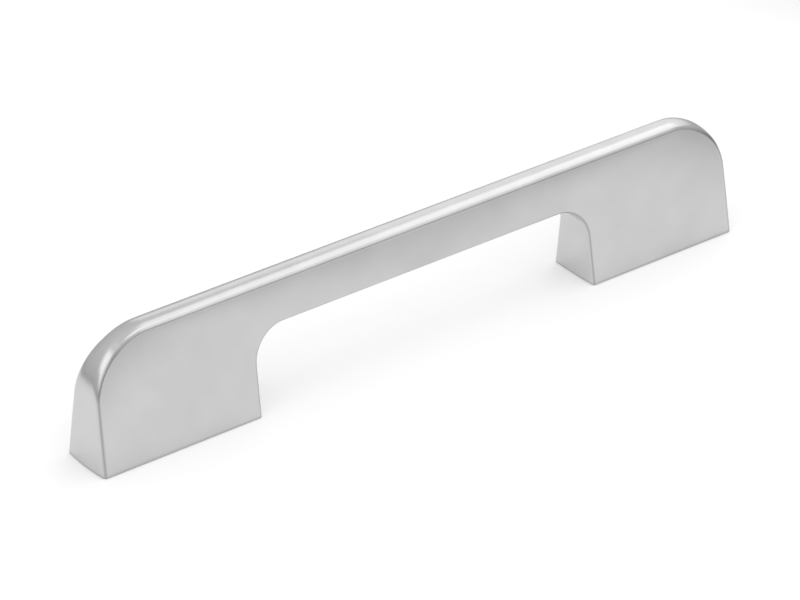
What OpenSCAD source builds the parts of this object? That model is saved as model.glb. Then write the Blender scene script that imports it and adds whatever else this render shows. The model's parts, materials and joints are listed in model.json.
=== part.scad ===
// Bow handle for a furniture door or drawer front.
// One zinc casting: two long feet joined by a bar, so that it reads as a low arch from the front.
// It stands on its feet. X runs along the bar, Y across it and Z out from the furniture.
// The origin lies on the mounting plane, midway between the two screw holes.

/* [Overall] */
// Distance between the two screw holes, each in the middle of its foot
hole_pitch = 128; // [96:1:256]
// Length of each foot along the bar, at the mounting plane
foot_l = 40; // [32:0.5:56]
// Height of the top of the bar above the mounting plane
height = 29.4; // [27:0.1:36]
// Thickness across the feet at the mounting plane
base_t = 13.6; // [12.6:0.1:18]
// Thickness that the wedge of the two faces narrows to at the full height
top_t = 5.1; // [4.6:0.1:8]

/* [Arch] */
// Depth of the bar, from its top to its underside
bar_depth = 10.4; // [7:0.1:12]
// Radius of the two outer corners
corner_r = 14.4; // [8:0.1:18]
// Radius of the two corners under the bar
arch_r = 7.6; // [3:0.1:12]
// Lean of the end walls towards the middle, in degrees
end_lean = 2.5; // [0:0.1:5]
// Lean of the inner walls of the feet towards the middle, in degrees
arch_lean = 0.8; // [0:0.1:4]

/* [Rim] */
// Radius of the tight edge between the outer rim and the faces
edge_r = 1.05; // [0.6:0.05:1.5]
// Radius of the edge between the inner rim and the faces
arch_edge_r = 0.7; // [0.4:0.05:1]
// Radius of the long crown across the outer rim
crown_r = 50; // [30:1:200]
// Radius of the long crown across the inner rim
arch_crown_r = 100; // [40:5:400]
// Radius of the shoulder that rounds the rim off towards the tight edge
shoulder_r = 5.5; // [5:0.1:15]
// Width of that shoulder at the bottom of the end walls
shoulder_base = 0.5; // [0:0.1:2]
// Width of that shoulder where the outer corner starts
shoulder_knee = 1.6; // [0:0.1:3]
// Width of that shoulder along the bar, where it may reach the middle of the rim
shoulder_top = 3.5; // [2:0.1:5]
// Size of the small bevel round the flat underside of each foot
base_break = 0.3; // [0.1:0.05:0.4]

/* [Underside] */
// Thickness of the cast wall round the pockets of each foot
wall_t = 2.2; // [1.6:0.1:2.6]
// Height of the pockets above the mounting plane
pocket_h = 18; // [10:0.5:19]
// Radius of the pockets' corners
pocket_r = 1; // [0.5:0.1:1.3]
// Draft of the pockets and of the screw boss, in degrees
pocket_draft = 1; // [0.5:0.1:2]
// Diameter of the screw boss between the two pockets of a foot, at the mounting plane
boss_d = 9.6; // [9.4:0.1:12]
// Diameter of the screw hole before its thread is cut
screw_core_d = 3.3; // [2.5:0.1:4.2]
// Depth of the screw hole
screw_depth = 12; // [8:0.5:16]
// Widening of the screw hole's mouth, on the radius
mouth_bevel = 0.5; // [0.2:0.05:0.8]

/* [Hidden] */
metal = "#c4c5c6";

// Steps along the end wall, round each outer corner, across the half rims and round the edges
wall_steps = 5;
corner_steps = 20;
rim_steps = 6;
edge_steps = 5;
arch_rim_steps = 2;
arch_edge_steps = 4;
pocket_steps = 4;
fit_rounds = 12;
// How far a cutting solid starts below the face that it cuts
cut_over = 1;
bore_fn = 64;

end_x = (hole_pitch + foot_l) / 2;
inner_x = (hole_pitch - foot_l) / 2;
arch_h = height - bar_depth;
half_wedge = (base_t - top_t) / 2 / height;

function smooth(t) = t <= 0 ? 0 : t >= 1 ? 1 : t * t * (3 - 2 * t);
function mix(a, b, t) = a + (b - a) * t;

// Half thickness of the wedge at height z
function half_t(z) = base_t / 2 - z * half_wedge;

// A path is a wall from the mounting plane, leaning towards the middle, and a round corner that
// ends level. wall_end is where the wall meets the corner, round_c the centre of the corner.
function round_c(x, h, r, lean) = [x - (h - r) * tan(lean) - r / cos(lean), h - r];
function wall_end(x, h, r, lean) = round_c(x, h, r, lean) + r * [cos(lean), sin(lean)];

// Point of a path: u runs from -1 at the mounting plane over 0 at the wall's end to 1 at the level
function path_point(x, h, r, lean, u) =
    u < 0
    ? mix(wall_end(x, h, r, lean), [x, 0], -u)
    : round_c(x, h, r, lean) + r * [cos(mix(lean, 90, u)), sin(mix(lean, 90, u))];

// Outward direction of a path at u, turned level at the mounting plane so that the foot ends flat
function path_angle(lean, u) = u < 0 ? lean * (1 + u) : mix(lean, 90, u);

// Width of the rim's shoulder: it grows from the foot to the corner and on to the bar
function shoulder_w(u) =
    u < 0
    ? mix(shoulder_base, shoulder_knee, smooth(u + 1))
    : mix(shoulder_knee, shoulder_top, smooth(u));

// Fall and slope of the rim at y from its middle: a long crown, and past flat a shoulder as well
function rim_fall(y, flat, crown) = y * y / (2 * crown) + pow(max(y - flat, 0), 2) / (2 * shoulder_r);
function rim_slope(y, flat, crown) = y / crown + max(y - flat, 0) / shoulder_r;

// Tilt at which the edge arc of radius r takes over from the rim, found by repeated substitution
function edge_tilt(t, flat, crown, r, tilt = 0, round = 0) =
    round >= fit_rounds
    ? tilt
    : edge_tilt(t, flat, crown, r, atan(rim_slope(t - r * (1 - sin(tilt)), flat, crown)), round + 1);

// Half of a rim, from its middle to the face. p is the path point, out its outward direction in
// degrees, inset draws the whole section in. The edge arc is tangent to the rim and to the face.
function half_rim(p, out, shoulder, crown, r_full, inset, rim_n, edge_n) =
    let (dir = [cos(out), sin(out)],
         r = r_full - inset,
         t = half_t(p[1]) - inset,
         flat = max(t - shoulder, 0),
         tilt = edge_tilt(t, flat, crown, r),
         y1 = t - r * (1 - sin(tilt)),
         fall1 = rim_fall(y1, flat, crown))
    concat(
        [for (k = [0 : rim_n - 1])
            let (y = y1 * k / rim_n, q = p - dir * (inset + rim_fall(y, flat, crown)))
            [q[0], y, q[1]]],
        [for (k = [0 : edge_n])
            let (a = mix(tilt, 90, k / edge_n), q = p - dir * (inset + fall1 + r * (cos(tilt) - cos(a))))
            [q[0], half_t(q[1]) - inset - r * (1 - sin(a)), q[1]]]);

function outer_half(u, inset) =
    half_rim(path_point(end_x, height, corner_r, end_lean, u), path_angle(end_lean, u),
             shoulder_w(u), crown_r, edge_r, inset, rim_steps, edge_steps);

// The inner rim faces the other way: its inward side is towards the end of the handle
function inner_half(u, inset) =
    half_rim(path_point(inner_x, arch_h, arch_r, arch_lean, u), path_angle(arch_lean, u) + 180,
             0, arch_crown_r, arch_edge_r, inset, arch_rim_steps, arch_edge_steps);

// A half rim is drawn at the back of the handle, and its mirror image lies in front
function before(points) = [for (p = points) [p[0], -p[1], p[2]]];
function turned(points) = [for (k = [len(points) - 1 : -1 : 0]) points[k]];
function no_first(points) = [for (k = [1 : len(points) - 1]) points[k]];

// Closed section of the arch at u: outer rim, back face, inner rim, front face
function section(u, inset = 0) =
    let (outer = outer_half(u, inset), inner = inner_half(u, inset))
    concat(outer, turned(inner), before(no_first(inner)), turned(before(no_first(outer))));

// A section whose points all lie at one height, for the underside of a foot
function level(points, z) = [for (p = points) [p[0], p[1], z]];
function other_side(points) = [for (p = points) [-p[0], p[1], p[2]]];

// Path value of the first full section, which lies at the top of the bevel
bevel_u = -1 + base_break / wall_end(end_x, height, corner_r, end_lean)[1];

right_sections = concat(
    [level(section(-1, base_break), 0), level(section(bevel_u), base_break)],
    [for (k = [1 : wall_steps - 1]) section(mix(bevel_u, 0, k / wall_steps))],
    [for (k = [0 : corner_steps]) section(k / corner_steps)]);
all_sections = concat(right_sections, turned([for (s = right_sections) other_side(s)]));

// Skin over a row of closed sections with equally many points, closed by its two end sections
module skin(sections) {
    rows = len(sections);
    n = len(sections[0]);
    sides = [for (i = [0 : rows - 2], j = [0 : n - 1])
        let (a = i * n + j, b = i * n + (j + 1) % n)
        each [[a, b + n, b], [a, a + n, b + n]]];
    first = [for (j = [0 : n - 1]) j];
    last = [for (j = [n - 1 : -1 : 0]) (rows - 1) * n + j];
    polyhedron(points = [for (s = sections) each s], faces = concat(sides, [first, last]));
}

// Rounded rectangle at height z, from x0 to x1 and to half_w on both sides of the middle
function pocket_section(x0, x1, half_w, r, z) =
    let (corners = [[x1 - r, half_w - r, 0], [x0 + r, half_w - r, 90],
                    [x0 + r, r - half_w, 180], [x1 - r, r - half_w, 270]])
    [for (c = corners, k = [0 : pocket_steps])
        let (a = c[2] + 90 * k / pocket_steps)
        [c[0] + r * cos(a), c[1] + r * sin(a), z]];

// Pocket section at height z, wall_t inside the foot and drawn in by inset near its top
function pocket_at(z, inset) =
    pocket_section(inner_x + wall_t + z * tan(pocket_draft) + inset,
                   end_x - wall_t - z * tan(end_lean) - inset,
                   half_t(z) - wall_t - inset, pocket_r - inset, z);

// Core of one foot: it follows the walls and has a rounded roof
module foot_core() {
    // The roof's last section keeps a little of its corner radius
    roof = [for (k = [0 : pocket_steps - 1]) 90 * k / pocket_steps];
    skin(concat(
        [pocket_at(-cut_over, 0)],
        [for (a = roof) pocket_at(pocket_h - pocket_r * (1 - sin(a)), pocket_r * (1 - cos(a)))]));
}

// Diameter of the boss at height z
function boss_width(z) = boss_d + 2 * z * tan(pocket_draft);

// Boss round the screw hole, cast in one with the foot and splitting its core in two
module screw_boss() {
    start = -2 * cut_over;
    end = pocket_h + cut_over;
    translate([hole_pitch / 2, 0, start])
        cylinder(h = end - start, d1 = boss_width(start), d2 = boss_width(end), $fn = bore_fn);
}

// Blind screw hole with a bevelled mouth, ready for its thread
module screw_hole() {
    translate([hole_pitch / 2, 0, -cut_over])
        cylinder(h = screw_depth + cut_over, d = screw_core_d, $fn = bore_fn);
    translate([hole_pitch / 2, 0, -mouth_bevel])
        cylinder(h = 2 * mouth_bevel, r1 = screw_core_d / 2 + 2 * mouth_bevel, r2 = screw_core_d / 2,
                 $fn = bore_fn);
}

module foot_cuts() {
    difference() {
        foot_core();
        screw_boss();
    }
    screw_hole();
}

module handle() {
    color(metal)
        difference() {
            skin(all_sections);
            foot_cuts();
            mirror([1, 0, 0])
                foot_cuts();
        }
}

handle();
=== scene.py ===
# %% [markdown]
# # A bow handle in satin chrome
# This is the handle of a cupboard door or a drawer: one zinc casting, plated and satin polished. Two long
# feet stand on the furniture and a slim bar joins them, so that fingers go behind the bar. Seen from its
# end the casting is a wedge, broad where it stands and narrow along the top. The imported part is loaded
# first. It stays where it is, and everything else is made in the same frame, in metres.

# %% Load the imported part
import json

import bmesh
import bpy
import numpy as np
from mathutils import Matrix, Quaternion, Vector


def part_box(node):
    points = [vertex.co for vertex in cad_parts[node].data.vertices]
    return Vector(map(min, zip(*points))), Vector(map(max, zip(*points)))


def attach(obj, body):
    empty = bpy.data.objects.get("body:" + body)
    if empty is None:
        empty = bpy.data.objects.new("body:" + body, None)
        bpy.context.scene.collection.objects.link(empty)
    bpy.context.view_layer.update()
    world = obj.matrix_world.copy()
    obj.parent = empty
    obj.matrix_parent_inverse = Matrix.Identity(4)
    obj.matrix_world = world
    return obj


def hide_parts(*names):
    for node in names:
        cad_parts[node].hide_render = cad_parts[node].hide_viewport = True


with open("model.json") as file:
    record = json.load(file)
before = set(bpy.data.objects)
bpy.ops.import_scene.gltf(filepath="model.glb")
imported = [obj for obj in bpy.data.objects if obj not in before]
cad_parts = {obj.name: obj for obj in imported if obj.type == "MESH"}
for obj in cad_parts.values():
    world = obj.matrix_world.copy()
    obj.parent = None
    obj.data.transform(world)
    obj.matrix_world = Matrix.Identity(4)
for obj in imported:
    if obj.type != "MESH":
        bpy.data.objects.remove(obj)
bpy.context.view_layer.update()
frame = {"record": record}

# %% [markdown]
# # Sizes of the casting
# The sizes are in millimetres, because that is how a handle is drawn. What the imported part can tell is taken
# from it: the height from its box, and the distance and the size of the screw holes from its mount. The other
# sizes are the ones that the part was drawn with, so that the dressed casting lies on the plain one.

# %% Overall sizes
MM = 0.001
screw_mount = next(m for m in frame["record"]["mounts"] if m["name"] == "screw_holes")
HOLE_PITCH = screw_mount["dims"]["spacing_x_mm"]
SCREW_CORE_R = screw_mount["dims"]["hole_r_mm"]
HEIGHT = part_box("handle")[1].z / MM
FOOT_LENGTH = 40.0
BAR_DEPTH = 10.4
BASE_THICKNESS = 13.6
TOP_THICKNESS = 5.1

BOSS_X = HOLE_PITCH / 2
END_X = BOSS_X + FOOT_LENGTH / 2
INNER_X = BOSS_X - FOOT_LENGTH / 2
ARCH_HEIGHT = HEIGHT - BAR_DEPTH
print(f"handle {2 * END_X:.1f} mm long and {HEIGHT:.1f} mm high, screws {HOLE_PITCH:.0f} mm apart")

# %% Outline of the arch
CORNER_R = 14.4
ARCH_R = 7.6
END_LEAN = np.radians(2.5)
ARCH_LEAN = np.radians(0.8)

# %% [markdown]
# # The path of a rim
# Seen from the front, the casting is bounded by two lines. The outer one climbs the end wall, turns through a
# round corner and runs level along the top. The inner one climbs the inside of the foot and turns into the
# underside of the bar. Both could be drawn as curves and filled, but then nothing would say how the rounding
# of the edges changes along them. Here a line is a function of one number u instead: -1 where the foot
# stands, 0 where the wall ends and 1 where the line has become level. A second number then runs across the
# rim, and the two make the whole skin.

# %% Walls and corners as a function of u
def mix(a, b, t):
    """The value that is the share t of the way from a to b."""
    return a + (b - a) * t


def smooth(t):
    """A soft step from 0 to 1: 3 t squared less 2 t cubed, with t held between 0 and 1."""
    t = np.clip(t, 0, 1)
    return t * t * (3 - 2 * t)


def rim_path(foot_x, top, radius, lean, u):
    """Points x and z of a rim's middle line, and the angle of its outward direction, at each u.
    The corner is a circle of the given radius whose centre lies so that the circle touches the level
    z = top and the wall through (foot_x, 0), which leans inwards by the angle lean. On the wall the
    direction turns in proportion to u, so that it is level where the foot stands."""
    centre_x = foot_x - (top - radius) * np.tan(lean) - radius / np.cos(lean)
    centre_z = top - radius
    turn = mix(lean, np.pi / 2, np.clip(u, 0, 1))
    x = centre_x + radius * np.cos(turn)
    z = centre_z + radius * np.sin(turn)
    wall = u < 0
    x = np.where(wall, mix(x, foot_x, -u), x)
    z = np.where(wall, mix(z, 0, -u), z)
    return x, z, np.where(wall, lean * (1 + u), turn)


WALL_TOP = rim_path(END_X, HEIGHT, CORNER_R, END_LEAN, np.array([0.0]))[1][0]
print(f"the outer corner starts {WALL_TOP:.2f} mm above the furniture")

# %% [markdown]
# # Across the rim
# The photographed rim is nearly flat where the handle stands and gets rounder towards the bar: a shoulder
# grows beside the edge, and the light of the room rolls over it as a bright band. So the rim's section is
# made of three parts that meet without a kink: a long crown over its whole width, a shoulder of 5.5 mm
# radius that starts some way before the edge, and a tight edge arc that ends in the flat face. A bevel
# modifier would give the same width everywhere, so the section is written as a formula whose shoulder
# depends on u. The casting also narrows like a wedge, and the formula follows the wedge's own faces.

# %% The wedge and the rounding of its edges
EDGE_R = 1.05
ARCH_EDGE_R = 0.7
CROWN_R = 50.0
ARCH_CROWN_R = 100.0
SHOULDER_R = 5.5
SHOULDER_WIDTHS = (0.5, 1.6, 3.5)
FIT_ROUNDS = 12


def half_thickness(z):
    """Half of the wedge's thickness at height z: it falls evenly from the base to the top."""
    return mix(BASE_THICKNESS, TOP_THICKNESS, z / HEIGHT) / 2


def shoulder_width(u):
    """Width of the shoulder: from the first width at the base over the second where the corner starts
    to the third along the bar, softly in both stretches."""
    base, knee, bar = SHOULDER_WIDTHS
    return np.where(u < 0, mix(base, knee, smooth(u + 1)), mix(knee, bar, smooth(u)))


def rim_fall(y, flat, crown):
    """How far the rim has fallen at y from its middle: y squared over twice the crown's radius, and past
    flat the same for the shoulder's radius."""
    return y**2 / (2 * crown) + np.maximum(y - flat, 0) ** 2 / (2 * SHOULDER_R)


def edge_tilt(half, flat, crown, radius):
    """Slope angle at which the edge arc takes over from the rim. The arc touches the face, so it meets the
    rim at half less radius times (1 less the sine of the angle). Putting the slope found there back in a
    few times settles both."""
    tilt = np.zeros_like(half)
    for _ in range(FIT_ROUNDS):
        y = half - radius * (1 - np.sin(tilt))
        tilt = np.arctan(y / crown + np.maximum(y - flat, 0) / SHOULDER_R)
    return tilt


def half_rim(path, shoulder, crown, edge_radius, inset, crown_points, edge_points):
    """Grid of points from the middle of a rim to the face beside it: one row for each station of the path.
    Across a row the depth under the middle line is rim_fall up to the edge arc, and then the arc's own
    depth, radius times (cosine of the tilt less cosine of the angle). inset draws the section in."""
    x, z, out = (v[:, None] for v in path)
    inset = inset[:, None]
    radius = edge_radius - inset
    half = half_thickness(z) - inset
    flat = np.maximum(half - shoulder[:, None], 0)
    tilt = edge_tilt(half, flat, crown, radius)
    last_y = half - radius * (1 - np.sin(tilt))
    crown_y = last_y * np.linspace(0, 1, crown_points + 1)[:-1]
    angle = mix(tilt, np.pi / 2, np.linspace(0, 1, edge_points + 1))
    edge_depth = rim_fall(last_y, flat, crown) + radius * (np.cos(tilt) - np.cos(angle))
    depth = inset + np.concatenate([rim_fall(crown_y, flat, crown), edge_depth], axis=1)
    grid_x = x - np.cos(out) * depth
    grid_z = z - np.sin(out) * depth
    edge_y = half_thickness(grid_z[:, crown_points:]) - inset - radius * (1 - np.sin(angle))
    return np.stack([grid_x, np.concatenate([crown_y, edge_y], axis=1), grid_z], axis=-1)

# %% [markdown]
# # The skin, section by section
# A section is a closed loop: over the outer rim, down one face, round the inner rim and up the other face.
# Sections stand close together where the light bends most, which is round the corners, and the last right
# one and the first left one are joined by the straight bar. Where the casting stands, its sharp edge is
# broken by a small round, made of a few level sections that are drawn in by less and less.
# The faces are flat, and a flat face beside a round edge shades badly if its first quad is large, because
# smooth shading spreads the edge's direction over it. A narrow strip beside each edge keeps the face flat.

# %% Stations along one half of the handle
BREAK_R = 0.3
BREAK_POINTS = 5
break_angle = np.linspace(0, np.pi / 2, BREAK_POINTS)
break_rise = BREAK_R * (1 - np.cos(break_angle))
break_inset = BREAK_R * (1 - np.sin(break_angle))
first_full_u = -1 + BREAK_R / WALL_TOP

WALL_STATIONS = 20
CORNER_STATIONS = 72
wall_u = np.linspace(first_full_u, 0, WALL_STATIONS + 1)[1:]
corner_u = np.linspace(0, 1, CORNER_STATIONS + 1)[1:]
station_u = np.concatenate([-1 + break_rise / WALL_TOP, wall_u, corner_u])
station_inset = np.concatenate([break_inset, np.zeros(len(wall_u) + len(corner_u))])
print(len(station_u), "stations from the foot to the bar")

# %% One section after another
CROWN_POINTS = 26
EDGE_POINTS = 12
ARCH_CROWN_POINTS = 6
ARCH_EDGE_POINTS = 8
FACE_STRIP = 0.25
FACE_POINTS = 8


def face_points(outer_edge, inner_edge):
    """Points on the flat face between the two rims' edges: straight lines from one to the other, with the
    first and the last point FACE_STRIP away from the edges and the others evenly between them."""
    span = inner_edge - outer_edge
    strip = FACE_STRIP / np.linalg.norm(span, axis=-1, keepdims=True)
    share = mix(strip, 1 - strip, np.linspace(0, 1, FACE_POINTS))[..., None]
    return outer_edge[:, None] + span[:, None] * share


def half_skin():
    """Sections of the right half, from the ground to the start of the bar, as an array of
    (station, point round the loop, coordinate)."""
    outer = half_rim(rim_path(END_X, HEIGHT, CORNER_R, END_LEAN, station_u), shoulder_width(station_u),
                     CROWN_R, EDGE_R, station_inset, CROWN_POINTS, EDGE_POINTS)
    x, z, out = rim_path(INNER_X, ARCH_HEIGHT, ARCH_R, ARCH_LEAN, station_u)
    inner = half_rim((x, z, out + np.pi), np.zeros_like(station_u), ARCH_CROWN_R, ARCH_EDGE_R,
                     station_inset, ARCH_CROWN_POINTS, ARCH_EDGE_POINTS)
    side = np.concatenate([outer, face_points(outer[:, -1], inner[:, -1]), inner[:, ::-1]], axis=1)
    side[:BREAK_POINTS, :, 2] = break_rise[:, None]
    front = side[:, -2:0:-1] * [1, -1, 1]
    return np.concatenate([side, front], axis=1)


BAR_STATIONS = 40
right_half = half_skin()
left_half = right_half[::-1] * [-1, 1, 1]
bar_share = np.linspace(0, 1, BAR_STATIONS + 1)[1:-1, None, None]
skin = np.concatenate([right_half, mix(right_half[-1], left_half[0], bar_share), left_half])
print("skin grid of", skin.shape[0], "sections with", skin.shape[1], "points each")

# %% [markdown]
# # The pockets behind the feet
# The photograph shows the outside only, and the furniture hides the rest. Such castings are hollow behind
# each foot, which saves metal and lets the walls set evenly, and a boss in the middle takes the screw. So
# each foot has two pockets, D-shaped because the round boss bulges into them. A boolean would leave slivers
# where the boss meets the walls, so a pocket is its own grid: loops of the same D, one for each height,
# drawn in near the roof where the core was rounded.

# %% A pocket as a stack of loops
WALL_THICKNESS = 2.2
POCKET_HEIGHT = 18.0
POCKET_R = 1.0
DRAFT = np.radians(1.0)
BOSS_R = 4.8
POCKET_ROWS = 14
ROOF_ROWS = 6
# The roof's rounding stops just short of level, so that its last loop still has round corners
ROOF_TURN = 0.45 * np.pi
BOSS_FILLET = 0.5
CORNER_POINTS = 6
STRAIGHT_POINTS = 10


def arc(centre_x, centre_y, radius, start, end, points):
    """Points of a circle from the angle start to the angle end, each a column over the pocket's heights."""
    angle = mix(start, end, np.linspace(0, 1, points))
    return np.stack([centre_x + radius * np.cos(angle), centre_y + radius * np.sin(angle)], axis=-1)


def line(start_x, end_x, y, points):
    """Points from start_x to end_x at y, without the two ends."""
    share = np.linspace(0, 1, points + 2)[1:-1]
    return np.stack(np.broadcast_arrays(mix(start_x, end_x, share), y), axis=-1)


def pocket(side):
    """Grid of one pocket's wall, seen from the boss: side is 1 towards the end of the handle and -1 towards
    its middle. Half a loop goes from the boss's middle over the small fillet beside the boss and along the
    long wall to the far wall, and the other half is its mirror image. Near the roof the loops are drawn in
    by the corner's radius times (1 less the cosine of the roof's angle)."""
    roof = np.linspace(0, ROOF_TURN, ROOF_ROWS)[1:]
    z = np.concatenate([np.linspace(0, POCKET_HEIGHT - POCKET_R, POCKET_ROWS),
                        POCKET_HEIGHT - POCKET_R * (1 - np.sin(roof))])[:, None]
    inset = np.concatenate([np.zeros(POCKET_ROWS), POCKET_R * (1 - np.cos(roof))])[:, None]
    far_lean = END_LEAN if side > 0 else DRAFT
    far_x = FOOT_LENGTH / 2 - WALL_THICKNESS - inset - z * np.tan(far_lean)
    half = half_thickness(z) - WALL_THICKNESS - inset
    corner = POCKET_R - inset
    boss = BOSS_R + z * np.tan(DRAFT)
    fillet_y = half - BOSS_FILLET
    fillet_x = np.sqrt((boss + BOSS_FILLET) ** 2 - fillet_y**2)
    touch = np.arctan2(fillet_y, fillet_x)
    zero = np.zeros_like(z)
    half_loop = np.concatenate([
        arc(zero, zero, boss, zero, touch, STRAIGHT_POINTS)[:, :-1],
        arc(fillet_x, fillet_y, BOSS_FILLET, touch + np.pi, zero + np.pi / 2, CORNER_POINTS),
        line(fillet_x, far_x - corner, half, STRAIGHT_POINTS),
        arc(far_x - corner, half - corner, corner, zero + np.pi / 2, zero, CORNER_POINTS)], axis=1)
    loop = np.concatenate([half_loop, half_loop[:, :0:-1] * [1, -1]], axis=1)
    height = np.broadcast_to(z[..., None], loop.shape[:2] + (1,))
    return np.concatenate([BOSS_X + side * loop[..., :1], loop[..., 1:], height], axis=-1)


pockets = [pocket(1), pocket(-1)]
print("pocket grid of", pockets[0].shape[0], "loops with", pockets[0].shape[1], "points each")

# %% [markdown]
# # The threaded screw holes
# A screw comes through the furniture's front and bites into a blind M4 hole in each boss. A thread is a
# helix: at a fixed angle its profile repeats every pitch, and it climbs by one pitch for each turn. The
# simplest way to draw it is a grid round the hole and up it, whose radius depends on where the point lies
# within the pitch. The thread fades out at the mouth, where a bevel leads the screw in, and at the bottom.

# %% A blind threaded hole
SCREW_DEPTH = 12.0
MOUTH_BEVEL = 0.5
THREAD_PITCH = 0.7
THREAD_DEPTH = 0.35
THREAD_ROWS_PER_TURN = 10
FLANK_STRETCH = 1.5
HOLE_POINTS = 48


def threaded_hole():
    """Grid of a hole's wall from its mouth to its bottom. The position within one pitch is z over pitch
    less angle over a full turn. A wave that rises and falls once in it is stretched about its middle by
    FLANK_STRETCH and cut off at 0 and 1, which makes a V with flats. The radius is the core's, plus the
    mouth's bevel where z is smaller than it, or that V times the thread's depth."""
    rows = int(SCREW_DEPTH / THREAD_PITCH * THREAD_ROWS_PER_TURN)
    z = np.linspace(0, SCREW_DEPTH, rows + 1)[:, None]
    angle = np.linspace(0, 2 * np.pi, HOLE_POINTS, endpoint=False)[None, :]
    phase = (z / THREAD_PITCH - angle / (2 * np.pi)) % 1
    groove = np.clip(mix(0.5, 1 - np.abs(2 * phase - 1), FLANK_STRETCH), 0, 1)
    fade = smooth((z - MOUTH_BEVEL) / THREAD_PITCH) * smooth((SCREW_DEPTH - z) / THREAD_PITCH)
    radius = SCREW_CORE_R + np.maximum(MOUTH_BEVEL - z, THREAD_DEPTH * groove * fade)
    height = np.broadcast_to(z, radius.shape)
    return np.stack([BOSS_X + radius * np.cos(angle), radius * np.sin(angle), height], axis=-1)


screw_hole = threaded_hole()
print("thread grid of", screw_hole.shape[0], "rows with", screw_hole.shape[1], "points each")

# %% [markdown]
# # What the brush leaves on the skin
# The satin lines run along the handle and bend with it round the corners. A pattern that reads its place in
# space can't bend, so each point of the skin stores how far along the path and how far across the rim it
# lies, and the finish reads that instead.

# %% The satin's own coordinates
def steps_length(grid, axis):
    """Length walked from the first point of a grid, along one of its two directions, at each point."""
    step = np.linalg.norm(np.diff(grid, axis=axis), axis=-1)
    start = np.zeros_like(np.take(step, [0], axis=axis))
    return np.concatenate([start, np.cumsum(step, axis=axis)], axis=axis)


def brush_of_skin(grid):
    """The satin's own coordinates on the skin: the length along the outer rim's middle, y, and the
    shorter way round the section from the outer rim's middle. All three agree where the loop closes."""
    along = np.broadcast_to(steps_length(grid[:, :1], 0), grid.shape[:2])
    across = steps_length(grid, 1)
    whole = across[:, -1:] + np.linalg.norm(grid[:, :1] - grid[:, -1:], axis=-1)
    return np.stack([along, grid[..., 1], np.minimum(across, whole - across)], axis=-1)


brush = brush_of_skin(skin)
print(f"the satin lines are {brush[..., 0].max():.0f} mm long from sole to sole")

# %% [markdown]
# Tight edges, smoother, with painted shade
# A thin dark line runs up the corners of the feet and fades out where the bar begins. A brushing wheel
# hardly touches such a tight edge, so it stays smooth and mirrors the dark of the room, and its darker grey
# is painted shade on top of that. The line could be a groove, but the outline shows none. So each point
# stores how much it belongs to a tight edge, worked out from the direction of the skin there, and how far it
# lies from the edge's end, because painted shade also darkens the faces towards the rim. The finish mixes its
# greys by those two numbers.

# %% Tight edges and the way to them
EDGE_CENTRE = np.radians(30)
EDGE_SPREAD = np.radians(17)
EDGE_FADE = (24.5, 28.0)
BASE_LINE = 0.65


def polish_and_shade_of_skin(grid):
    """How much a point belongs to a tight edge, which is smoother and darkened by painted shade: e to the
    power of minus the square of (the angle between the skin and the flat face, less EDGE_CENTRE, over
    EDGE_SPREAD).
    Along the bar the edge is rounder, and the value falls to 0 between the two heights of EDGE_FADE. The edge
    round the sole counts as well, up to BASE_LINE above the furniture, which paints a line of shade along the
    sole."""
    run = np.gradient(grid, axis=0)
    over = np.roll(grid, -1, axis=1) - np.roll(grid, 1, axis=1)
    out = np.cross(over, run)
    out /= np.linalg.norm(out, axis=-1, keepdims=True)
    face = np.array([0, 1, (BASE_THICKNESS - TOP_THICKNESS) / 2 / HEIGHT])
    face /= np.linalg.norm(face)
    straight = np.abs(out[..., 1]) * face[1] + np.abs(out[..., 2]) * face[2]
    angle = np.arccos(np.clip(straight, 0, 1))
    bell = np.exp(-(((angle - EDGE_CENTRE) / EDGE_SPREAD) ** 2))
    low, high = EDGE_FADE
    z = grid[..., 2]
    return np.maximum(bell * (1 - smooth((z - low) / (high - low))), smooth(1 - z / BASE_LINE))


def face_distance(grid):
    """Length walked over the section from the end of the outer edge arc, on either side of the loop. It is
    positive on the face and negative on the rim."""
    across = brush_of_skin(grid)[..., 2]
    arc_end = CROWN_POINTS + EDGE_POINTS
    return across - across[:, arc_end:arc_end + 1]


# This number carries painted shade as well as smoothness: the finish darkens the tight edges and the sole's
# edge by it
edge_polish_and_shade = polish_and_shade_of_skin(skin)
from_edge = face_distance(skin)
print("edge polish from", edge_polish_and_shade.min().round(3), "to", edge_polish_and_shade.max().round(3))

# %% [markdown]
# # Joining the grids to one closed casting
# Each grid becomes quads, and the flat areas that are left, which are the soles of the feet, the pockets'
# roofs and the holes' bottoms, are filled between the grids' open edges. The result has to be one closed
# shell that faces outwards, like the real casting. The places of the faces also say which finish they get:
# the outside is polished and plated, the pockets stay as cast, and the thread is cut last.

# %% All grids and their quads
SATIN, CAST, THREAD = range(3)
mirror = np.array([-1, 1, 1])
grids = [(skin, brush, SATIN)]
for part, finish in [(pockets[0], CAST), (pockets[1], CAST), (screw_hole, THREAD)]:
    grids += [(part, part, finish), (part * mirror, part * mirror, finish)]
print(len(grids), "grids")


def quads(rows, columns, first):
    """Corner numbers of the quads of a grid whose rows are closed loops. first is the number of the grid's
    first point."""
    row, column = np.meshgrid(np.arange(rows - 1), np.arange(columns), indexing="ij")
    after = (column + 1) % columns
    corners = [row * columns + column, row * columns + after,
               (row + 1) * columns + after, (row + 1) * columns + column]
    return np.stack(corners, axis=-1).reshape(-1, 4) + first


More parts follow.
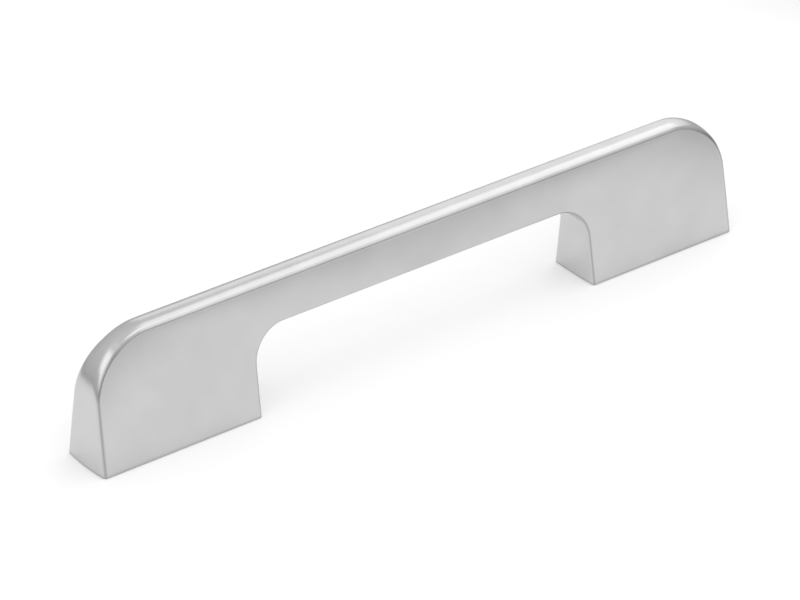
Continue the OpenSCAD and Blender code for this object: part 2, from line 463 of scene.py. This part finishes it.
def joined_grids(name):
    """One mesh of all grids, with the finish of each quad and the numbers that the satin reads. The tight
    edges are stored for the skin only, whose points come first, and are 0 on the other grids."""
    counts = [grid.shape[0] * grid.shape[1] for grid, _, _ in grids]
    firsts = np.concatenate([[0], np.cumsum(counts)[:-1]])
    points = np.concatenate([grid.reshape(-1, 3) for grid, _, _ in grids]) * MM
    where = np.concatenate([lines.reshape(-1, 3) for _, lines, _ in grids]) * MM
    faces = [quads(*grid.shape[:2], first) for (grid, _, _), first in zip(grids, firsts)]
    finish = np.repeat([grid[2] for grid in grids], [len(part) for part in faces])
    mesh = bpy.data.meshes.new(name)
    mesh.from_pydata(points.tolist(), [], np.concatenate(faces).tolist())
    mesh.polygons.foreach_set("material_index", finish.astype(np.int32))
    stored = mesh.attributes.new("brush", "FLOAT_VECTOR", "POINT")
    stored.data.foreach_set("vector", where.ravel().astype(np.float32))
    for what, values in (("edge_polish_and_shade", edge_polish_and_shade), ("from_edge", from_edge * MM)):
        padded = np.zeros(len(points), np.float32)
        padded[:values.size] = values.ravel()
        mesh.attributes.new(what, "FLOAT", "POINT").data.foreach_set("value", padded)
    return mesh

# %% One closed casting
LEVEL_DIGITS = 6
LEVEL_MARGIN = 1.0
SHARP_ANGLE = np.radians(35)


def flat_fills(shell):
    """Fills what is still open, one level at a time: every open loop of the grids lies at one height."""
    levels = {}
    for edge in shell.edges:
        if edge.is_boundary:
            levels.setdefault(round(edge.verts[0].co.z, LEVEL_DIGITS), []).append(edge)
    made = []
    for level in sorted(levels):
        made += bmesh.ops.triangle_fill(shell, use_beauty=True, edges=levels[level])["geom"]
    return [piece for piece in made if isinstance(piece, bmesh.types.BMFace)]


def fill_finish(height):
    """Finish of a flat fill: the soles lie lowest, the holes' bottoms next and the pockets' roofs highest."""
    if height < LEVEL_MARGIN:
        return SATIN
    return THREAD if height < SCREW_DEPTH + LEVEL_MARGIN else CAST


def casting_mesh(name):
    """The casting as one closed mesh that faces outwards: the joined grids and the flat fills."""
    mesh = joined_grids(name)
    shell = bmesh.new()
    shell.from_mesh(mesh)
    for face in flat_fills(shell):
        face.material_index = fill_finish(face.calc_center_median().z / MM)
    bmesh.ops.recalc_face_normals(shell, faces=shell.faces)
    print("open edges:", sum(not edge.is_manifold for edge in shell.edges), "faces:", len(shell.faces),
          "volume:", round(shell.calc_volume() / MM**3, 1), "cubic mm")
    shell.to_mesh(mesh)
    shell.free()
    mesh.shade_smooth()
    mesh.set_sharp_from_angle(angle=SHARP_ANGLE)
    return mesh


handle = bpy.data.objects.new("cast_handle", casting_mesh("cast_handle"))
bpy.context.scene.collection.objects.link(handle)

# %% [markdown]
# # Nodes for the finishes
# A finish is a small graph of nodes: noise that is brought to a range of greys or roughnesses and handed to
# the shader. Written out node by node it would fill pages, so a few helpers take names and values, and set
# or link each socket. A noise is given by the size of its spots in millimetres, as one would describe a
# surface at the bench.

# %% Helpers for the finishes
NOISE_RANGE = (0.3, 0.7)


def new_finish(name, **sockets):
    """A material with a Principled shader whose named sockets are set to the given values."""
    material = bpy.data.materials.new(name)
    material.use_nodes = True
    shader = material.node_tree.nodes["Principled BSDF"]
    for socket, value in sockets.items():
        shader.inputs[socket.replace("_", " ")].default_value = value
    return material, shader


def add_node(material, kind, settings=None, **inputs):
    """A node of the given kind with its inputs set, or linked where the value is another node's output."""
    node = material.node_tree.nodes.new(kind)
    for name, value in (settings or {}).items():
        setattr(node, name, value)
    for name, value in inputs.items():
        socket = node.inputs[name.replace("_", " ")]
        if isinstance(value, bpy.types.NodeSocket):
            material.node_tree.links.new(value, socket)
        else:
            socket.default_value = value
    return node


def calculate(material, operation, *values):
    """A number worked out of one or two others, each a node's output or a plain number."""
    node = add_node(material, "ShaderNodeMath", {"operation": operation})
    for socket, value in zip(node.inputs, values):
        if isinstance(value, bpy.types.NodeSocket):
            material.node_tree.links.new(value, socket)
        else:
            socket.default_value = value
    return node.outputs["Value"]


def noise(material, where, size, detail, squeeze=(1, 1, 1)):
    """Noise whose spots are about size millimetres across, on coordinates that are first squeezed."""
    scaled = add_node(material, "ShaderNodeMapping", Vector=where, Scale=squeeze)
    return add_node(material, "ShaderNodeTexNoise", Vector=scaled.outputs["Vector"],
                    Scale=1 / (size * MM), Detail=detail).outputs["Fac"]


def ranged(material, value, start, end, low, high, soft=False):
    """A value brought from the range start to end to the range low to high, evenly or with a soft step."""
    settings = {"interpolation_type": "SMOOTHSTEP" if soft else "LINEAR"}
    return add_node(material, "ShaderNodeMapRange", settings, Value=value, From_Min=start, From_Max=end,
                    To_Min=low, To_Max=high).outputs["Result"]


def spread(material, value, low, high):
    """Noise brought from the range that it mostly fills, NOISE_RANGE, to the range from low to high."""
    return ranged(material, value, *NOISE_RANGE, low, high)


def grey(material, value, dark, light):
    """Colour between two greys, by value."""
    ramp = add_node(material, "ShaderNodeValToRGB", Fac=value)
    for stop, shade, place in zip(ramp.color_ramp.elements, (dark, light), NOISE_RANGE):
        stop.position = place
        stop.color = (shade, shade, shade, 1)
    return ramp.outputs["Color"]

# %% [markdown]
# # Satin chrome
# Plated zinc that was brushed before plating looks soft: it mirrors the room, but every reflection is blurred
# by fine lines. A metal in Blender is a Principled shader with Metallic 1, and the blur is its roughness.
# Four things keep it from looking like plastic. The polish is slowly uneven, in clouds of 14 mm and patches
# of 5 mm, and the roughness varies with the clouds. Fine lines run along the handle: they read the stored
# satin coordinates, squeezed along the path, so that they turn with the rim round the corners. The faces are
# darkened beside the rim by painted shade. The tight edges are smoother, and darker by painted shade.
# The roughness never passes 0.272. The filter that cleans a render's noise treats metal rougher than about
# 0.274 in another way, and a finish on both sides of that value shows worm-like marks.

# %% Where painted shade darkens the faces
# Painted shade: the faces are darkened beside the rim, and more so higher up
RIM_SHADE_SHARE = 0.22
RIM_SHADE_ON_FACE = 7.5 * MM
RIM_SHADE_ON_RIM = 0.7 * MM
RIM_SHADE_FROM = 0.35 * MM
RIM_SHADE_RISE = (8 * MM, 26 * MM)


def stored_value(material, name, socket="Fac"):
    """A number or a vector that the mesh stores for each point."""
    return add_node(material, "ShaderNodeAttribute", {"attribute_name": name}).outputs[socket]


def painted_shade_beside_rim(material, place):
    """How much painted shade darkens the finish beside the rim: e to the power of minus the distance from
    RIM_SHADE_FROM over a length, a long one down the face and a short one towards the rim. The painted shade
    rises from 0 to its full value between the heights of RIM_SHADE_RISE, so the lower halves of the feet stay
    lighter."""
    distance = calculate(material, "SUBTRACT", stored_value(material, "from_edge"), RIM_SHADE_FROM)
    on_face = calculate(material, "MULTIPLY", distance, -1 / RIM_SHADE_ON_FACE)
    on_rim = calculate(material, "MULTIPLY", distance, 1 / RIM_SHADE_ON_RIM)
    near = calculate(material, "EXPONENT", calculate(material, "MINIMUM", on_face, on_rim))
    z = add_node(material, "ShaderNodeSeparateXYZ", Vector=place).outputs["Z"]
    return calculate(material, "MULTIPLY", near, ranged(material, z, *RIM_SHADE_RISE, 0, 1, soft=True))


print(f"the faces lose up to {RIM_SHADE_SHARE:.0%} of their brightness beside the rim")

# %% The outside: satin chrome
CLOUD_SIZE, CLOUD_DETAIL, CLOUD_DEPTH = 14, 2, 0.1 * MM
PATCH_SIZE, PATCH_DETAIL = 5, 1
LINE_SIZE, LINE_DETAIL, LINE_DEPTH = 0.22, 2, 0.0015 * MM
LINE_SQUEEZE = (0.03, 1, 1)
SATIN_GREY = (0.58, 0.622)
PATCH_GREY = (0.985, 1.015)
# Painted shade: the darker grey of the tight edges and of the sole's edge
EDGE_SHADE_GREY = 0.35
SATIN_ROUGHNESS = (0.238, 0.26)
LINE_ROUGHNESS = 0.012
EDGE_ROUGHNESS = -0.04
# A Mix node has several sockets of each name, so its colour sockets go by their numbers
MIX_FIRST, MIX_SECOND, MIX_RESULT = 6, 7, 2


def satin_grey_with_painted_shade(material, place, cloud, edge):
    """Grey of the plating: the clouds' grey times the patches' share times the share that the painted shade
    beside the rim leaves, and mixed with EDGE_SHADE_GREY, a painted shade, by how much the point belongs to a
    tight edge."""
    patches = spread(material, noise(material, place, PATCH_SIZE, PATCH_DETAIL), *PATCH_GREY)
    left = ranged(material, painted_shade_beside_rim(material, place), 0, 1, 1, 1 - RIM_SHADE_SHARE)
    plated = add_node(material, "ShaderNodeVectorMath", {"operation": "SCALE"},
                      Vector=grey(material, cloud, *SATIN_GREY),
                      Scale=calculate(material, "MULTIPLY", left, patches))
    # Painted shade: the tight edges and the sole's edge are mixed towards a dark grey
    shaded_edge = add_node(material, "ShaderNodeMix", {"data_type": "RGBA"}, Factor=edge)
    material.node_tree.links.new(plated.outputs["Vector"], shaded_edge.inputs[MIX_FIRST])
    shaded_edge.inputs[MIX_SECOND].default_value = (EDGE_SHADE_GREY, EDGE_SHADE_GREY, EDGE_SHADE_GREY, 1)
    return shaded_edge.outputs[MIX_RESULT]


def satin_chrome():
    """Satin chrome: a blurred mirror whose grey is satin_grey_with_painted_shade. Its roughness is the sum of what clouds,
    lines and tight edges give, and its relief is the clouds' with the fine lines on top."""
    material, shader = new_finish("satin_chrome", Metallic=1.0)
    links = material.node_tree.links
    place = add_node(material, "ShaderNodeTexCoord").outputs["Object"]
    edge = stored_value(material, "edge_polish_and_shade")
    cloud = noise(material, place, CLOUD_SIZE, CLOUD_DETAIL)
    along = stored_value(material, "brush", "Vector")
    lines = noise(material, along, LINE_SIZE, LINE_DETAIL, LINE_SQUEEZE)
    links.new(satin_grey_with_painted_shade(material, place, cloud, edge), shader.inputs["Base Color"])
    rough = calculate(material, "ADD", spread(material, cloud, *SATIN_ROUGHNESS),
                      spread(material, lines, -LINE_ROUGHNESS, LINE_ROUGHNESS))
    rough = calculate(material, "ADD", rough, calculate(material, "MULTIPLY", edge, EDGE_ROUGHNESS))
    links.new(rough, shader.inputs["Roughness"])
    waves = add_node(material, "ShaderNodeBump", Height=cloud, Distance=CLOUD_DEPTH, Strength=1.0)
    fine = add_node(material, "ShaderNodeBump", Height=lines, Distance=LINE_DEPTH, Strength=1.0,
                    Normal=waves.outputs["Normal"])
    links.new(fine.outputs["Normal"], shader.inputs["Normal"])
    return material


handle.data.materials.append(satin_chrome())
print("satin chrome has", len(handle.data.materials[0].node_tree.nodes), "nodes")

# %% [markdown]
# # Inside the pockets and the thread
# Nothing polishes the pockets, so the casting's own skin shows there under a thin flash of plating: darker,
# rougher, with the grain of the die. The thread is cut after plating and shows bright bare metal with the
# tool's rings. Both are seen only from behind, but a handle is also looked at before it is mounted.

# %% Cast pockets and cut thread
LUMP_SIZE, LUMP_DETAIL, LUMP_DEPTH = 3, 4, 0.1 * MM
GRAIN_SIZE, GRAIN_DETAIL, GRAIN_DEPTH = 0.35, 2, 0.03 * MM
CAST_RELIEF = 0.8
CAST_GREY = (0.34, 0.44)
CAST_ROUGHNESS = (0.5, 0.62)
RING_SIZE, RING_DETAIL = 0.12, 2
RING_SQUEEZE = (0.1, 0.1, 1)
CUT_GREY = (0.56, 0.68)
CUT_ROUGHNESS = (0.22, 0.34)


def cast_skin():
    """Dull cast metal: a fine grain over soft lumps."""
    material, shader = new_finish("cast_zinc", Metallic=1.0)
    place = add_node(material, "ShaderNodeTexCoord").outputs["Object"]
    lumps = noise(material, place, LUMP_SIZE, LUMP_DETAIL)
    grain = noise(material, place, GRAIN_SIZE, GRAIN_DETAIL)
    links = material.node_tree.links
    links.new(grey(material, lumps, *CAST_GREY), shader.inputs["Base Color"])
    links.new(spread(material, grain, *CAST_ROUGHNESS), shader.inputs["Roughness"])
    soft = add_node(material, "ShaderNodeBump", Height=lumps, Distance=LUMP_DEPTH, Strength=CAST_RELIEF)
    sharp = add_node(material, "ShaderNodeBump", Height=grain, Distance=GRAIN_DEPTH, Strength=CAST_RELIEF,
                     Normal=soft.outputs["Normal"])
    links.new(sharp.outputs["Normal"], shader.inputs["Normal"])
    return material


def cut_metal():
    """Bright cut metal: rings of the tool round the hole."""
    material, shader = new_finish("cut_thread", Metallic=1.0)
    place = add_node(material, "ShaderNodeTexCoord").outputs["Object"]
    rings = noise(material, place, RING_SIZE, RING_DETAIL, RING_SQUEEZE)
    links = material.node_tree.links
    links.new(grey(material, rings, *CUT_GREY), shader.inputs["Base Color"])
    links.new(spread(material, rings, *CUT_ROUGHNESS), shader.inputs["Roughness"])
    return material


handle.data.materials.append(cast_skin())
handle.data.materials.append(cut_metal())
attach(handle, "root")
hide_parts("handle")
print("finishes:", [m.name for m in handle.data.materials])

# %% [markdown]
# # The table
# The handle stands on a plain white table. Metal shows what it mirrors, so the white of the table matters to
# its faces as much as a lamp does: they mirror the table in front of them, the low parts close by and the
# high parts further off. In the photograph the faces get darker towards the bar and the right end, so the
# table is white round the handle and softly turns grey outside the picture. It is a matt plane, and what its
# colour lacks to pure white is added as a little light of its own, seen by the camera and in the metal's
# reflections only. The handle's soft shadow stays, because the matt part still carries it.

# %% White table
TABLE_R = 4.0
TABLE_POINTS = 96
TABLE_ROUGHNESS = 0.9
TABLE_WHITE, TABLE_FAR = 0.72, 0.36
TABLE_GLOW = 0.29
WHITE_R, GREY_R = 0.14, 0.31
WHITE_CENTRE = (-0.01, 0.03, 0)
# The two vectors of a Vector Math node share one name, so the second goes by its number
SECOND_VECTOR = 1


def white_table():
    """A round plane under the handle, matt white with a little glow of its own. Further out, between the
    distances WHITE_R and GREY_R from WHITE_CENTRE, it softly turns grey and the glow ends."""
    angle = np.linspace(0, 2 * np.pi, TABLE_POINTS, endpoint=False)
    rim = np.stack([np.cos(angle), np.sin(angle), np.zeros_like(angle)], axis=-1) * TABLE_R
    mesh = bpy.data.meshes.new("table")
    mesh.from_pydata(rim.tolist(), [], [list(range(len(rim)))])
    material, shader = new_finish("table_white", Roughness=TABLE_ROUGHNESS, Specular_IOR_Level=0.0,
                                  Emission_Color=(1, 1, 1, 1))
    links = material.node_tree.links
    place = add_node(material, "ShaderNodeTexCoord").outputs["Object"]
    centred = add_node(material, "ShaderNodeVectorMath", {"operation": "DISTANCE"}, Vector=place)
    centred.inputs[SECOND_VECTOR].default_value = WHITE_CENTRE
    away = centred.outputs["Value"]
    white = ranged(material, away, WHITE_R, GREY_R, TABLE_WHITE, TABLE_FAR, soft=True)
    links.new(white, shader.inputs["Base Color"])
    seen = add_node(material, "ShaderNodeLightPath").outputs
    mirrored = calculate(material, "MAXIMUM", seen["Is Glossy Ray"], seen["Is Transmission Ray"])
    shown = calculate(material, "MAXIMUM", seen["Is Camera Ray"], mirrored)
    glow = ranged(material, away, WHITE_R, GREY_R, TABLE_GLOW, 0, soft=True)
    links.new(calculate(material, "MULTIPLY", shown, glow), shader.inputs["Emission Strength"])
    mesh.materials.append(material)
    table = bpy.data.objects.new("table", mesh)
    bpy.context.scene.collection.objects.link(table)
    return table


white_table()
print(f"the table is white up to {WHITE_R:.2f} m and grey from {GREY_R:.2f} m")

# %% [markdown]
# # Light
# Satin metal is lit by large soft sources, because it shows their shapes. Along the bar the direction that
# the rim mirrors sweeps over the sky: from low behind the handle, over its top on the right, down to the
# front on the right. Three softboxes stand along that sweep. The one above makes the bright band, the one
# on the right softens the band's lower side, and the one behind lights its upper side. A fourth on the left
# makes the highlight on the left corner, which crosses the band there. The room between them is a little
# darker, and more so near the table, which gives the dark stretches of the rounded edge. Each softbox is an
# area lamp that the camera doesn't see, and its power follows from the brightness of its surface.

# %% Room and softboxes
ROOM_LOW, ROOM_HIGH = 0.6, 0.82
SOFTBOX_DISTANCE = 1.3


def aim(azimuth, height):
    """Direction from the handle: azimuth 0 is the front, 90 the right, and height is above the table."""
    a, h = np.radians([azimuth, height])
    return Vector((np.sin(a) * np.cos(h), -np.cos(a) * np.cos(h), np.sin(h)))


def softbox(name, azimuth, height, roll, width, depth, shine):
    """An area lamp that faces the handle, turned by roll degrees in its own plane. A lamp whose surface has
    the brightness shine gives pi times its area times shine watts."""
    lamp = bpy.data.lights.new(name, "AREA")
    lamp.shape = "RECTANGLE"
    lamp.size, lamp.size_y = width, depth
    lamp.energy = np.pi * width * depth * shine
    stand = bpy.data.objects.new(name, lamp)
    direction = aim(azimuth, height)
    stand.location = direction * SOFTBOX_DISTANCE
    facing = direction.to_track_quat("Z", "Y") @ Quaternion((0, 0, 1), np.radians(roll))
    stand.rotation_euler = facing.to_euler()
    stand.visible_camera = False
    bpy.context.scene.collection.objects.link(stand)
    print(name, "gives", round(lamp.energy, 2), "W")


softbox("softbox_above", azimuth=74, height=64, roll=-40, width=1.7, depth=1.1, shine=0.71)
softbox("softbox_right", azimuth=31, height=30, roll=-20, width=0.42, depth=0.85, shine=0.6)
softbox("softbox_left", azimuth=-62, height=33, roll=-25, width=2.6, depth=1.0, shine=0.75)
softbox("softbox_behind", azimuth=132, height=25, roll=57, width=0.8, depth=1.15, shine=0.5)

# %% The room's own light
room = bpy.data.worlds.new("room")
room.use_nodes = True
direction = add_node(room, "ShaderNodeTexCoord").outputs["Generated"]
upward = add_node(room, "ShaderNodeSeparateXYZ", Vector=direction).outputs["Z"]
walls = ranged(room, upward, 0, 1, ROOM_LOW, ROOM_HIGH)
room.node_tree.links.new(walls, room.node_tree.nodes["Background"].inputs["Color"])
bpy.context.scene.world = room
bpy.context.scene.view_settings.view_transform = "Standard"
print(f"the room's light rises from {ROOM_LOW} at the table to {ROOM_HIGH} overhead")

# %% [markdown]
# # The camera
# The photograph looks down on the handle from its left end, from far away with a long lens, so that its edges
# stay nearly parallel. The view was found by fitting the outline of the handle to the photograph, and it is
# written as an azimuth, a height above the table, a very small roll, a distance and the lens. The handle
# isn't quite in the middle of the photograph, which a small shift of the lens repeats.

# %% Camera
VIEW_AZIMUTH = -37.26
VIEW_HEIGHT = 30.03
VIEW_ROLL = np.radians(-0.25)
VIEW_DISTANCE = 0.9536
FOCAL_PIXELS = 4514.3
FRAME_WIDTH, FRAME_HEIGHT = 800, 600
AIM_PIXEL = (412.64, 277.66)
AIM_POINT = Vector((0, 0, HEIGHT / 2 * MM))
SENSOR_WIDTH = 36.0

lens = bpy.data.cameras.new("camera")
lens.sensor_width = SENSOR_WIDTH
lens.lens = FOCAL_PIXELS / FRAME_WIDTH * SENSOR_WIDTH
lens.shift_x = (FRAME_WIDTH / 2 - AIM_PIXEL[0]) / FRAME_WIDTH
lens.shift_y = (AIM_PIXEL[1] - FRAME_HEIGHT / 2) / FRAME_WIDTH
camera = bpy.data.objects.new("camera", lens)
back = aim(VIEW_AZIMUTH, VIEW_HEIGHT)
camera.location = AIM_POINT + back * VIEW_DISTANCE
camera.rotation_mode = "QUATERNION"
camera.rotation_quaternion = back.to_track_quat("Z", "Y") @ Quaternion((0, 0, 1), VIEW_ROLL)
bpy.context.scene.collection.objects.link(camera)
bpy.context.scene.camera = camera
print(f"lens {lens.lens:.1f} mm, shift {lens.shift_x:.4f} {lens.shift_y:.4f}")
